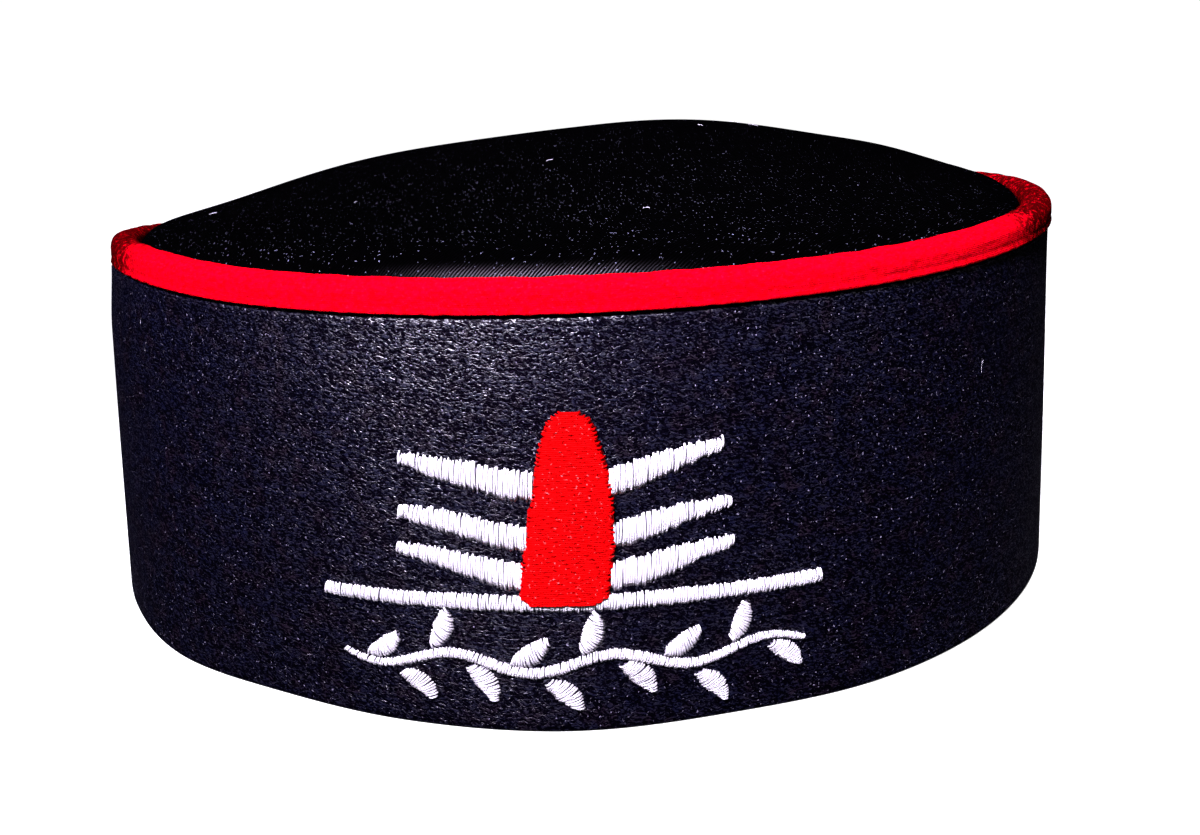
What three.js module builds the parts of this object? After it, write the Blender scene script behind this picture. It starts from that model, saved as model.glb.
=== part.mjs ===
// Himachali cap: a tall round cloth wall, a red binding tape on its rim and a soft black crown,
// with a red mark, six white bars, a white rule and a leaf vine embroidered on the front.
// Millimetres, +Z up. The front faces -Y and the hem stands on z = 0.
import * as THREE from 'three';

// Plan and height of the cap
const HEM_HALF = 94.3;        // half the outer width at the hem
const RIM_HALF = 91.5;        // half the outer width of the wall under the tape
const DEPTH_RATIO = 1.03;     // front to back over side to side
const RIM_HEIGHT = 65.2;      // the rim above the hem, on average
const LEAN = 0.46;            // the rim stands this far to the right of the hem
const CURL = 0.9;             // the wall's top rolls in this far on the left side

// Wall
const WALL = 3.2;             // padded and quilted cloth
const HEM_ROUND = 0.9;        // the folded hem's edge
const PINCHED_WALL = 2.4;     // the wall where the tape grips it

// Binding tape
const TAPE = 1.2;             // doubled tape with its filler cord
const TAPE_PROUD = 0.6;       // the tape stands this far outside the wall
const TAPE_OUTER = 4.85;      // height of its outer leg
const TAPE_INNER = 4.2;       // height of its inner leg
const TAPE_ROUND = 2.2;       // height of its rounded top

// Crown
const CROWN_WALL = 1.8;       // lined twill
const CROWN_SEAT = 2;         // its edge is sewn this far below the rim
const CROWN_RISE = 8.6;       // the dome above the rim's level, before its lumps
const DOME_FULLNESS = 0.82;   // under 1 the dome is fuller near its edge
const PUFF = 2;               // the cloth puffs up behind the tape at the front
const PUFF_RUN = 2.2;         // distance in which the edge climbs out of its seat

// Embroidery
const THREAD = 0.8;           // height of the sewn pads
const EMBLEM_TOP = 47.9;      // tip of the red mark above the hem
const TILAK_HALF = 7.3;       // half its widest part
const BAR_REACH = 25.4;       // outer ends of the white bars, from the centre line
const BAR_WIDTH = 4;          // a bar at its widest
const RULE_HALF = 38;         // half the rule's length
const RULE_WIDTH = 2.3;
const RULE_HEIGHT = 19.9;     // its centre line above the hem
const VINE_HALF = 35;         // half the stem's length
const VINE_HEIGHT = 10.6;     // its centre line above the hem
const VINE_WAVE = 1.3;
const VINE_WAVES = 3;         // waves in the whole stem
const STEM_WIDTH = 1.5;
const LEAVES = 12;
const LEAF_LENGTH = 6.2;
const LEAF_WIDTH = 3.1;
const LEAF_LEAN = 48;         // degrees between a leaf and the stem
const LEAF_ROOT = 0.3;        // thickness of a leaf's root, as a share of LEAF_WIDTH

const GAP = 0.3;              // between pieces that are sewn to each other
const STEPS = 72;             // facets round the cap

// Height of the rim round the cap, as a share of RIM_HEIGHT; 0 is the front, 90 the right side
const RIM_ROWS = [
  { deg: 0, up: 1.015 },
  { deg: 30, up: 1.027 },
  { deg: 60, up: 1.052 },
  { deg: 90, up: 1.069 },
  { deg: 120, up: 1.046 },
  { deg: 150, up: 0.982 },
  { deg: 180, up: 0.92 },
  { deg: 210, up: 0.905 },
  { deg: 240, up: 0.942 },
  { deg: 270, up: 1 },
  { deg: 300, up: 1.034 },
  { deg: 330, up: 1.018 },
];

// Dents and swells of the hem, as a share of HEM_HALF
const HEM_ROWS = [
  { deg: 0, out: 0.0085 },
  { deg: 15, out: -0.0065 },
  { deg: 30, out: 0.0005 },
  { deg: 60, out: -0.002 },
  { deg: 90, out: -0.003 },
  { deg: 180, out: 0 },
  { deg: 270, out: -0.005 },
  { deg: 300, out: 0.0015 },
  { deg: 315, out: 0.0075 },
  { deg: 330, out: -0.0105 },
  { deg: 345, out: -0.001 },
];

// The crown's puff behind the tape, as a share of PUFF
const PUFF_ROWS = [
  { deg: 0, up: 1 },
  { deg: 20, up: 0.6 },
  { deg: 45, up: 0.1 },
  { deg: 90, up: 0 },
  { deg: 180, up: 0 },
  { deg: 270, up: 0 },
  { deg: 315, up: 0.5 },
  { deg: 340, up: 1 },
];

// Lumps of the crown: place and width as shares of RIM_HALF, height as a share of CROWN_RISE
const LUMP_ROWS = [
  { right: 0.24, back: 0.05, wide: 0.33, up: 0.97 },
  { right: -0.31, back: -0.05, wide: 0.28, up: 0.44 },
  { right: 0.55, back: 0.3, wide: 0.25, up: 0.13 },
  { right: -0.55, back: 0.15, wide: 0.2, up: 0.24 },
  { right: -0.78, back: 0.2, wide: 0.16, up: 0.17 },
  { right: 0.8, back: 0.3, wide: 0.16, up: 0.51 },
];

// Rings of the crown from its middle to its edge, as shares of its radius
const CROWN_RINGS = [0.16, 0.32, 0.47, 0.61, 0.73, 0.83, 0.9, 0.95, 0.98, 1];

// Red mark from its foot to its tip: height as a share of EMBLEM_TOP, edges of TILAK_HALF
const TILAK_ROWS = [
  { up: 0.408, left: -0.55, right: 0.27 },
  { up: 0.419, left: -0.82, right: 0.57 },
  { up: 0.437, left: -0.98, right: 0.72 },
  { up: 0.497, left: -0.95, right: 0.77 },
  { up: 0.585, left: -0.85, right: 0.84 },
  { up: 0.689, left: -0.75, right: 0.86 },
  { up: 0.772, left: -0.66, right: 0.81 },
  { up: 0.835, left: -0.58, right: 0.74 },
  { up: 0.898, left: -0.5, right: 0.63 },
  { up: 0.95, left: -0.4, right: 0.52 },
  { up: 0.981, left: -0.29, right: 0.4 },
  { up: 1, left: -0.08, right: 0.22 },
];

// White bars from the outer end inwards: out as a share of BAR_REACH, up of EMBLEM_TOP and
// thick of BAR_WIDTH. The last row of each ends against the red mark.
const BAR_ROWS = {
  tripund_left_1: [
    { out: -0.967, up: 0.856, thick: 0.35 },
    { out: -0.778, up: 0.833, thick: 0.65 },
    { out: -0.547, up: 0.808, thick: 0.9 },
    { out: -0.378, up: 0.787, thick: 0.95 },
    { up: 0.775, thick: 0.95 },
  ],
  tripund_left_2: [
    { out: -0.982, up: 0.69, thick: 0.42 },
    { out: -0.791, up: 0.675, thick: 0.67 },
    { out: -0.557, up: 0.649, thick: 0.75 },
    { out: -0.388, up: 0.626, thick: 0.85 },
    { up: 0.616, thick: 0.85 },
  ],
  tripund_left_3: [
    { out: -1, up: 0.573, thick: 0.33 },
    { out: -0.8, up: 0.559, thick: 0.6 },
    { out: -0.567, up: 0.53, thick: 0.75 },
    { out: -0.396, up: 0.508, thick: 0.92 },
    { up: 0.501, thick: 0.95 },
  ],
  tripund_right_1: [
    { out: 0.89, up: 0.877, thick: 0.4 },
    { out: 0.744, up: 0.86, thick: 0.6 },
    { out: 0.573, up: 0.834, thick: 0.82 },
    { out: 0.404, up: 0.807, thick: 0.92 },
    { up: 0.78, thick: 1 },
  ],
  tripund_right_2: [
    { out: 0.929, up: 0.697, thick: 0.4 },
    { out: 0.74, up: 0.681, thick: 0.6 },
    { out: 0.567, up: 0.661, thick: 0.78 },
    { out: 0.396, up: 0.638, thick: 0.88 },
    { up: 0.623, thick: 0.88 },
  ],
  tripund_right_3: [
    { out: 0.945, up: 0.573, thick: 0.38 },
    { out: 0.736, up: 0.554, thick: 0.68 },
    { out: 0.563, up: 0.528, thick: 0.9 },
    { out: 0.392, up: 0.506, thick: 0.97 },
    { up: 0.498, thick: 0.93 },
  ],
};

const TURN = Math.PI * 2;
const lerp = (a, b, t) => a + (b - a) * t;
const radians = (deg) => (deg * TURN) / 360;

// Smooth value of one column of a table of rows round the cap
function roundValue(rows, column, angle) {
  const deg = ((angle * 360) / TURN + 720) % 360;
  const n = rows.length;
  let i = n - 1;
  while (i > 0 && rows[i].deg > deg) i -= 1;
  const at = (k) => rows[(k + n) % n].deg + 360 * Math.floor(k / n);
  const value = (k) => rows[(k + n) % n][column];
  const slope = (k) => (value(k + 1) - value(k - 1)) / (at(k + 1) - at(k - 1));
  const span = at(i + 1) - at(i);
  const t = (deg - at(i)) / span;
  const keep = 2 * t ** 3 - 3 * t ** 2 + 1;
  const leave = t ** 3 - 2 * t ** 2 + t;
  const arrive = t ** 3 - t ** 2;
  return keep * value(i) + (1 - keep) * value(i + 1)
    + span * (leave * slope(i) + arrive * slope(i + 1));
}

const rimHeight = (angle) => RIM_HEIGHT * roundValue(RIM_ROWS, 'up', angle);
const tapeFoot = (angle) => rimHeight(angle) - TAPE_OUTER;

// Point at an angle round the wall and a height, standing out from the wall's outer face
function wallPoint(angle, height, out) {
  const climb = height / tapeFoot(angle);
  const hemHalf = HEM_HALF * (1 + roundValue(HEM_ROWS, 'out', angle));
  const rolled = THREE.MathUtils.smoothstep(climb, 0.8, 1.05) * CURL * (1 - Math.sin(angle)) / 2;
  const half = lerp(hemHalf, RIM_HALF, climb) - rolled;
  const normal = new THREE.Vector2(DEPTH_RATIO * Math.sin(angle), -Math.cos(angle)).normalize();
  return new THREE.Vector3(
    half * Math.sin(angle) + LEAN * climb + out * normal.x,
    -half * DEPTH_RATIO * Math.cos(angle) + out * normal.y,
    height,
  );
}

// Closed body from rows of points. Each row is a ring of its own; the rows close on each other
// or are capped at both ends.
function bodyFromRows(rows, closeRows) {
  const width = rows[0].length;
  const index = [];
  const last = closeRows ? rows.length : rows.length - 1;
  for (let i = 0; i < last; i += 1) {
    const next = (i + 1) % rows.length;
    for (let j = 0; j < width; j += 1) {
      const side = (j + 1) % width;
      const corners = [i * width + j, next * width + j, next * width + side, i * width + side];
      index.push(corners[0], corners[1], corners[2], corners[0], corners[2], corners[3]);
    }
  }
  if (!closeRows) {
    const end = (rows.length - 1) * width;
    for (let j = 1; j < width - 1; j += 1) {
      index.push(0, j, j + 1);
      index.push(end, end + j + 1, end + j);
    }
  }
  return meshGeometry(rows.flat(), index);
}

function meshGeometry(points, index) {
  const geometry = new THREE.BufferGeometry().setFromPoints(points);
  geometry.setIndex(index);
  geometry.computeVertexNormals();
  return geometry;
}

// Ring round the cap: section(angle) lists [out, height] pairs, up the outside and down the inside
function ringBody(section) {
  const rows = [];
  for (let i = 0; i < STEPS; i += 1) {
    const angle = (TURN * i) / STEPS;
    rows.push(section(angle).map(([out, height]) => wallPoint(angle, height, out)));
  }
  return bodyFromRows(rows, true);
}

// Faces of the tape and of what it grips, as distances out from the wall
const GRIP_OUTER = TAPE_PROUD - TAPE - GAP;
const GRIP_INNER = GRIP_OUTER - PINCHED_WALL;
const TAPE_INSIDE = GRIP_INNER - GAP - TAPE;
const CROWN_EDGE = TAPE_INSIDE - GAP;

function sideBand() {
  const round = HEM_ROUND;
  return ringBody((angle) => {
    const rim = rimHeight(angle);
    const foot = rim - TAPE_OUTER - GAP;
    const top = rim - TAPE - GAP;
    const inside = rim - TAPE_INNER - GAP;
    return [
      [-round, 0],
      [-0.3 * round, 0.3 * round],
      [0, round],
      [0, foot * 0.35],
      [0, foot * 0.7],
      [0, foot * 0.88],
      [0, foot - GAP],
      [-GAP, foot],
      [GRIP_OUTER, foot],
      [GRIP_OUTER, top - GAP],
      [GRIP_OUTER - GAP, top],
      [GRIP_INNER + GAP, top],
      [GRIP_INNER, top - GAP],
      [GRIP_INNER, inside],
      [-WALL, inside - 2 * GAP],
      [-WALL, foot * 0.5],
      [-WALL, round],
      [-WALL + 0.3 * round, 0.3 * round],
      [-WALL + round, 0],
    ];
  });
}

function trimBinding() {
  const slotOuter = TAPE_PROUD - TAPE;
  const slotInner = GRIP_INNER - GAP;
  const middle = (TAPE_PROUD + TAPE_INSIDE) / 2;
  const halfWide = (TAPE_PROUD - TAPE_INSIDE) / 2;
  const turned = TAPE / 3;
  return ringBody((angle) => {
    const rim = rimHeight(angle);
    const foot = rim - TAPE_OUTER;
    const inside = rim - TAPE_INNER;
    const slot = rim - TAPE;
    const roundTop = [];
    for (let k = 0; k <= 8; k += 1) {
      const turn = (Math.PI * k) / 8;
      const drop = TAPE_ROUND * (1 - Math.sin(turn));
      roundTop.push([middle + halfWide * Math.cos(turn), rim - drop]);
    }
    return [
      [slotOuter, foot],
      [TAPE_PROUD - turned, foot],
      [TAPE_PROUD, foot + turned],
      ...roundTop,
      [TAPE_INSIDE, inside + turned],
      [TAPE_INSIDE + turned, inside],
      [slotInner, inside],
      [slotInner, slot - GAP],
      [slotInner + GAP, slot],
      [slotOuter - GAP, slot],
      [slotOuter, slot - GAP],
    ];
  });
}

// Point of the crown's outer face at a share of the way from its middle to its edge
function crownPoint(share, angle) {
  const rim = rimHeight(angle);
  const edge = wallPoint(angle, rim, CROWN_EDGE);
  const x = lerp(LEAN, edge.x, share);
  const y = edge.y * share;
  const level = RIM_HEIGHT + (rim - RIM_HEIGHT) * share ** 1.5;
  const climbOut = 1 - Math.exp((-(1 - share) * RIM_HALF) / PUFF_RUN);
  const puff = PUFF * roundValue(PUFF_ROWS, 'up', angle) * share ** 2;
  let lumps = 0;
  for (const { right, back, wide, up } of LUMP_ROWS) {
    const away = Math.hypot(x / RIM_HALF - right, y / RIM_HALF - back) / wide;
    lumps += CROWN_RISE * up * Math.exp(-(away ** 2) / 2);
  }
  const dome = CROWN_RISE * (1 - share ** 2) ** DOME_FULLNESS + lumps * (1 - share ** 4);
  return new THREE.Vector3(x, y, level - CROWN_SEAT + (CROWN_SEAT + puff) * climbOut + dome);
}

// Point of the crown's inner face, one cloth thickness inside the outer one
function crownInside(share, angle) {
  const step = 0.01; // share of the radius and radians
  const inner = crownPoint(share - step, angle);
  const outer = crownPoint(Math.min(share + step, 1), angle);
  const before = crownPoint(share, angle - step);
  const after = crownPoint(share, angle + step);
  const normal = outer.sub(inner).cross(after.sub(before)).normalize();
  return crownPoint(share, angle).addScaledVector(normal, -CROWN_WALL);
}

function crownTop() {
  const middle = crownPoint(0, 0);
  const points = [middle, middle.clone().setZ(middle.z - CROWN_WALL)];
  const faces = [crownPoint, crownInside];
  for (const face of faces) {
    for (const share of CROWN_RINGS) {
      for (let i = 0; i < STEPS; i += 1) points.push(face(share, (TURN * i) / STEPS));
    }
  }
  const rings = CROWN_RINGS.length;
  const at = (face, ring, i) => 2 + (face * rings + ring) * STEPS + (i % STEPS);
  const index = [];
  for (let i = 0; i < STEPS; i += 1) {
    index.push(0, at(0, 0, i), at(0, 0, i + 1));
    index.push(1, at(1, 0, i + 1), at(1, 0, i));
    for (let ring = 0; ring < rings - 1; ring += 1) {
      index.push(at(0, ring, i), at(0, ring + 1, i), at(0, ring + 1, i + 1));
      index.push(at(0, ring, i), at(0, ring + 1, i + 1), at(0, ring, i + 1));
      index.push(at(1, ring, i), at(1, ring + 1, i + 1), at(1, ring + 1, i));
      index.push(at(1, ring, i), at(1, ring, i + 1), at(1, ring + 1, i + 1));
    }
    index.push(at(0, rings - 1, i), at(1, rings - 1, i), at(1, rings - 1, i + 1));
    index.push(at(0, rings - 1, i), at(1, rings - 1, i + 1), at(0, rings - 1, i + 1));
  }
  return meshGeometry(points, index);
}

// Point on the band, given the way round from the centre line and the height above the hem
const MEAN_RADIUS = (RIM_HALF * (1 + DEPTH_RATIO)) / 2;
const onBand = (along, height, out) => wallPoint(along / MEAN_RADIUS, height, out);

// Arched pad between two edges. Each row holds two points [along, height], right side first when
// looking the way the rows run.
const PAD_TOP = [
  { across: 0, up: 0.45 },
  { across: 0.2, up: 0.9 },
  { across: 0.5, up: 1 },
  { across: 0.8, up: 0.9 },
  { across: 1, up: 0.45 },
];
const PAD_BACK = [1, 0.5, 0];

function pad(edgeRows) {
  const rows = edgeRows.map(([from, to]) => {
    const point = (across, out) => onBand(
      lerp(from[0], to[0], across),
      lerp(from[1], to[1], across),
      GAP + out,
    );
    const top = PAD_TOP.map(({ across, up }) => point(across, THREAD * up));
    const back = PAD_BACK.map((across) => point(across, 0));
    return [...top, ...back];
  });
  return bodyFromRows(rows, false);
}

// Pad along a centre line of { along, height, thick } rows, which run to the right
function ribbon(line) {
  return pad(line.map(({ along, height, thick }, i) => {
    const before = line[Math.max(i - 1, 0)];
    const after = line[Math.min(i + 1, line.length - 1)];
    const way = new THREE.Vector2(after.along - before.along, after.height - before.height);
    way.normalize().multiplyScalar(thick / 2);
    return [[along + way.y, height - way.x], [along - way.y, height + way.x]];
  }));
}

const tilakEdge = (row, side) => TILAK_HALF * row[side];
const RULE_TOP = RULE_HEIGHT + RULE_WIDTH / 2;

function tilak() {
  return pad(TILAK_ROWS.map((row) => {
    const height = EMBLEM_TOP * row.up;
    return [[tilakEdge(row, 'right'), height], [tilakEdge(row, 'left'), height]];
  }));
}

// Outermost edge of the red mark between two heights
function tilakReach(side, low, high) {
  let reach = 0;
  for (let i = 1; i < TILAK_ROWS.length; i += 1) {
    const [under, over] = [TILAK_ROWS[i - 1], TILAK_ROWS[i]];
    if (EMBLEM_TOP * over.up < low || EMBLEM_TOP * under.up > high) continue;
    for (const end of [low, high]) {
      const span = EMBLEM_TOP * (over.up - under.up);
      const t = THREE.MathUtils.clamp((end - EMBLEM_TOP * under.up) / span, 0, 1);
      reach = Math.max(reach, Math.abs(lerp(tilakEdge(under, side), tilakEdge(over, side), t)));
    }
  }
  return reach;
}

function tripundBar(rows) {
  const side = rows[0].out < 0 ? 'left' : 'right';
  const sign = side === 'left' ? -1 : 1;
  const line = rows.map(({ out, up, thick }) => {
    const height = EMBLEM_TOP * up;
    const wide = BAR_WIDTH * thick;
    const seat = sign * (tilakReach(side, height - wide, height + wide) + GAP);
    return { along: out === undefined ? seat : BAR_REACH * out, height, thick: wide };
  });
  return ribbon(side === 'left' ? line : line.reverse());
}

// The rule passes below the red mark, so it is thinner and lower there
function borderRule() {
  const markFoot = EMBLEM_TOP * TILAK_ROWS[0].up - GAP;
  const line = [];
  for (let i = -9; i <= 9; i += 1) {
    const along = (RULE_HALF * i) / 9;
    const underMark = 1 - THREE.MathUtils.smoothstep(Math.abs(along), TILAK_HALF, TILAK_HALF * 1.6);
    const top = lerp(RULE_TOP, Math.min(markFoot, RULE_TOP), underMark);
    const low = RULE_TOP - RULE_WIDTH;
    line.push({ along, height: (top + low) / 2, thick: top - low });
  }
  return ribbon(line);
}

const vineHeight = (along) => VINE_HEIGHT
  + VINE_WAVE * Math.sin((Math.PI * VINE_WAVES * along) / VINE_HALF);

function vineStem() {
  const line = [];
  for (let i = -14; i <= 14; i += 1) {
    const along = (VINE_HALF * i) / 14;
    const thick = STEM_WIDTH * (1 - 0.5 * Math.abs(i / 14) ** 6);
    line.push({ along, height: vineHeight(along), thick });
  }
  return ribbon(line);
}

// Leaves stand above and below the stem in turn and point forward along it
function vineLeaf(number) {
  const above = number % 2 === 0 ? 1 : -1;
  const root = VINE_HALF * lerp(-0.93, 0.8, number / (LEAVES - 1));
  const slope = vineHeight(root + 0.5) - vineHeight(root - 0.5);
  const lean = radians(LEAF_LEAN);
  const rootThick = LEAF_WIDTH * LEAF_ROOT;
  const start = (STEM_WIDTH / 2 + 1.5 * GAP + (rootThick / 2) * Math.cos(lean)) / Math.sin(lean);
  const heading = Math.atan(slope) + above * lean;
  const line = [];
  for (let i = 0; i <= 6; i += 1) {
    const share = i / 6;
    const run = start + LEAF_LENGTH * share;
    const bend = LEAF_LENGTH * 0.1 * above * Math.sin(Math.PI * share);
    line.push({
      along: root + run * Math.cos(heading) + bend * Math.sin(heading),
      height: vineHeight(root) + run * Math.sin(heading) - bend * Math.cos(heading),
      thick: LEAF_WIDTH * Math.max(Math.sin(Math.PI * (0.08 + 0.86 * share)) ** 0.8, LEAF_ROOT),
    });
  }
  return ribbon(line);
}

const cloth = (color, roughness) => new THREE.MeshStandardMaterial({ color, roughness, metalness: 0 });
const WALL_CLOTH = cloth(0x17131f, 0.85);
const CROWN_CLOTH = cloth(0x08070b, 0.9);
const RED_TAPE = cloth(0xd9041f, 0.6);
const RED_THREAD = cloth(0xe0060f, 0.55);
const WHITE_THREAD = cloth(0xe8dceb, 0.5);

const cap = new THREE.Group();

function add(name, geometry, material) {
  const mesh = new THREE.Mesh(geometry, material);
  mesh.name = name;
  cap.add(mesh);
}

add('side_band', sideBand(), WALL_CLOTH);
add('trim_binding', trimBinding(), RED_TAPE);
add('crown_top', crownTop(), CROWN_CLOTH);
add('tilak', tilak(), RED_THREAD);
for (const [name, rows] of Object.entries(BAR_ROWS)) add(name, tripundBar(rows), WHITE_THREAD);
add('border_rule', borderRule(), WHITE_THREAD);
add('vine_stem', vineStem(), WHITE_THREAD);
for (let i = 0; i < LEAVES; i += 1) add(`vine_leaf_${i + 1}`, vineLeaf(i), WHITE_THREAD);

export default cap;
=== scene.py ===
import math
import random

import bpy
import numpy as np
from mathutils import Matrix, Vector

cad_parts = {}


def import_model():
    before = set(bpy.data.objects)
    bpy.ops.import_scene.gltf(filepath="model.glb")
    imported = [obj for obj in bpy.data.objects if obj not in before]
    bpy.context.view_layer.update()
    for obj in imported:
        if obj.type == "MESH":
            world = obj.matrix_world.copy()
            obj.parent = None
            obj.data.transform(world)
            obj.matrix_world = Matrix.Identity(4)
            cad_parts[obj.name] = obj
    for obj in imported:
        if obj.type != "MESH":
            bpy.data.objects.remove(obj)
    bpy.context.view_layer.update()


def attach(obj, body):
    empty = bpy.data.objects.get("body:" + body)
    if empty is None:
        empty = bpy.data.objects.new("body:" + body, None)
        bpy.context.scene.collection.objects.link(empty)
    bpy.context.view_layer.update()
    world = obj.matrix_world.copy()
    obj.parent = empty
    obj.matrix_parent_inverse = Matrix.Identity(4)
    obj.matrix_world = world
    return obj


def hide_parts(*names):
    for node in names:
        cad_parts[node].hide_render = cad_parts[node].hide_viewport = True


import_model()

# Himachali cap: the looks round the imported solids. Lengths are millimetres until a mesh is made,
# and the driving sizes are those of the part's own source.

random.seed(11)
MM = 0.001

# Camera, from the photograph
CAMERA_DISTANCE = 275
CAMERA_UP = 15.227            # degrees above the level of its target
CAMERA_ROUND = 0.863          # degrees to the right of the front
CAMERA_ROLL = -1.768          # degrees
CAMERA_TARGET = (3.664, 0, 21.023)
LENS = 38.235
SENSOR_WIDTH = 36

# Plan and height of the cap
HEM_HALF = 94.3
RIM_HALF = 91.5
DEPTH_RATIO = 1.03
RIM_HEIGHT = 65.2
LEAN = 0.46                   # the rim stands this far to the right of the hem
CURL = 0.9                    # the wall's top curls in by this at the left, and not at the right

# Wall, tape and crown
WALL = 3.2
HEM_ROUND = 0.9
PINCHED_WALL = 2.4            # thickness of the wall inside the tape
TAPE = 1.2
TAPE_PROUD = 0.6
TAPE_OUTER = 4.85
TAPE_INNER = 4.2
TAPE_ROUND = 2.2
CROWN_WALL = 1.8
CROWN_SEAT = 2
CROWN_RISE = 8.6
DOME_FULLNESS = 0.82
PUFF = 2
PUFF_RUN = 2.2
GAP = 0.3
SEAM_TOP = 4.4                # the crown's seam allowance lies between these depths under the rim
SEAM_FOOT = 4.8
SEAM_CLEAR = 0.2              # between the seam allowance and the wall
SEAM_TUCK = 0.5               # the seam allowance's inner edge turns in this far

# Unevenness of the cloth: number of waves round the cap, their depth, and the run they die out in
PUCKERS = 150                 # pinches of the wall's cloth where it goes under the tape
PUCKER_DEPTH = 0.13
PUCKER_RUN = 4
HEM_PUCKERS = 90
HEM_PUCKER_DEPTH = 0.06
HEM_PUCKER_RUN = 3
SAGS = 7                      # broad swells of the wall between its hem and the tape
SAG_DEPTH = 0.25
TAPE_PULLS = 170              # stitches that pull at the tape's lower edge
TAPE_PULL = 0.05
TAPE_SWELLS = 60
TAPE_SWELL = 0.07
TAPE_FULLNESS = 0.06          # how far the folded tape swells past its solid
TAPE_EDGE_LIFT = 0.12         # how far the tape's turned lower edge stands off
DRAWN_IN = 0.65               # the tape lies this much closer at the cap's left side
GATHERS = 120                 # small folds where the crown goes under the tape
GATHER_HEIGHT = 0.22
GATHER_RUN = 5
CREASE_HEIGHT = 0.35

# Embroidery
EMBLEM_TOP = 47.9
TILAK_HALF = 7.3
BAR_REACH = 25.4
BAR_WIDTH = 4
BAR_SPREAD = 0.3              # the stitches of a bar reach this much past its width in all
RULE_HALF = 38
RULE_WIDTH = 2.3
RULE_HEIGHT = 19.9
MARK_FOOT = 19.95             # the red mark's lowest stitches leave a strip of the rule in view
VINE_HALF = 35
VINE_HEIGHT = 10.6
VINE_WAVE = 1.3
VINE_WAVES = 3
STEM_WIDTH = 1.5
LEAVES = 12
LEAF_LENGTH = 6.2
LEAF_WIDTH = 3.1
LEAF_LEAN = 48
LEAF_ROOT = 0.3
LEAF_FIRST = -0.93            # root of the first leaf, as a share of VINE_HALF
LEAF_SPAN = 1.73              # from there to the root of the last leaf
THREAD_RADIUS = 0.175
STITCH_PITCH = 0.35
SATIN_RISE = 0.66             # top of a satin stitch over the cloth, at the thread's middle
FILL_STITCH = 4.2             # length of one stitch in the red mark
FILL_PITCH = 0.3
FILL_RISE = 0.7
FILL_ARCH = 0.14              # how much lower a stitch of the mark is at its ends
TWIST = 0.7                   # run of thread in one turn of its twist
# thread ends and padding sit at this place, so they take the full painted shade
UNDERSIDE = 0.75              # place round a thread, in turns, that faces the cloth
LINT_RADIUS = 0.035

# Rows of (degrees round the cap from the front, share), as in the part's source
RIM_ROWS = [
    (0, 1.015), (30, 1.027), (60, 1.052), (90, 1.069), (120, 1.046), (150, 0.982),
    (180, 0.92), (210, 0.905), (240, 0.942), (270, 1), (300, 1.034), (330, 1.018),
]
HEM_ROWS = [
    (0, 0.0085), (15, -0.0065), (30, 0.0005), (60, -0.002), (90, -0.003), (180, 0),
    (270, -0.005), (300, 0.0015), (315, 0.0075), (330, -0.0105), (345, -0.001),
]
PUFF_ROWS = [
    (0, 1), (20, 0.6), (45, 0.1), (90, 0), (180, 0), (270, 0), (315, 0.5), (340, 1),
]

# Lumps of the crown: right and back and width as shares of RIM_HALF, height of CROWN_RISE
LUMP_ROWS = [
    (0.24, 0.05, 0.33, 0.97), (-0.31, -0.05, 0.28, 0.44), (0.55, 0.3, 0.25, 0.13),
    (-0.55, 0.15, 0.2, 0.24), (-0.78, 0.2, 0.16, 0.17), (0.8, 0.3, 0.16, 0.51),
]

# Red mark from foot to tip: height of EMBLEM_TOP, left and right edges of TILAK_HALF
TILAK_ROWS = [
    (0.408, -0.55, 0.27), (0.419, -0.82, 0.57), (0.437, -0.98, 0.72), (0.497, -0.95, 0.77),
    (0.585, -0.85, 0.84), (0.689, -0.75, 0.86), (0.772, -0.66, 0.81), (0.835, -0.58, 0.74),
    (0.898, -0.5, 0.63), (0.95, -0.4, 0.52), (0.981, -0.29, 0.4), (1, -0.08, 0.22),
]

# White bars from the outer end inwards: out of BAR_REACH, up of EMBLEM_TOP, thick of BAR_WIDTH.
# The last row of each tucks under the edge of the red mark.
BAR_ROWS = {
    "tripund_left_1": [
        (-0.967, 0.856, 0.35), (-0.778, 0.833, 0.65), (-0.547, 0.808, 0.9),
        (-0.378, 0.787, 0.95), (-0.19, 0.775, 0.95)],
    "tripund_left_2": [
        (-0.982, 0.69, 0.42), (-0.791, 0.675, 0.67), (-0.557, 0.649, 0.75),
        (-0.388, 0.626, 0.85), (-0.235, 0.616, 0.85)],
    "tripund_left_3": [
        (-1, 0.573, 0.33), (-0.8, 0.559, 0.6), (-0.567, 0.53, 0.75),
        (-0.396, 0.508, 0.92), (-0.265, 0.501, 0.95)],
    "tripund_right_1": [
        (0.89, 0.877, 0.4), (0.744, 0.86, 0.6), (0.573, 0.834, 0.82),
        (0.404, 0.807, 0.92), (0.225, 0.78, 1)],
    "tripund_right_2": [
        (0.929, 0.697, 0.4), (0.74, 0.681, 0.6), (0.567, 0.661, 0.78),
        (0.396, 0.638, 0.88), (0.245, 0.623, 0.88)],
    "tripund_right_3": [
        (0.945, 0.573, 0.38), (0.736, 0.554, 0.68), (0.563, 0.528, 0.9),
        (0.392, 0.506, 0.97), (0.225, 0.498, 0.93)],
}


# Shape of the cap. Angles go round from the front, positive to the right.

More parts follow.
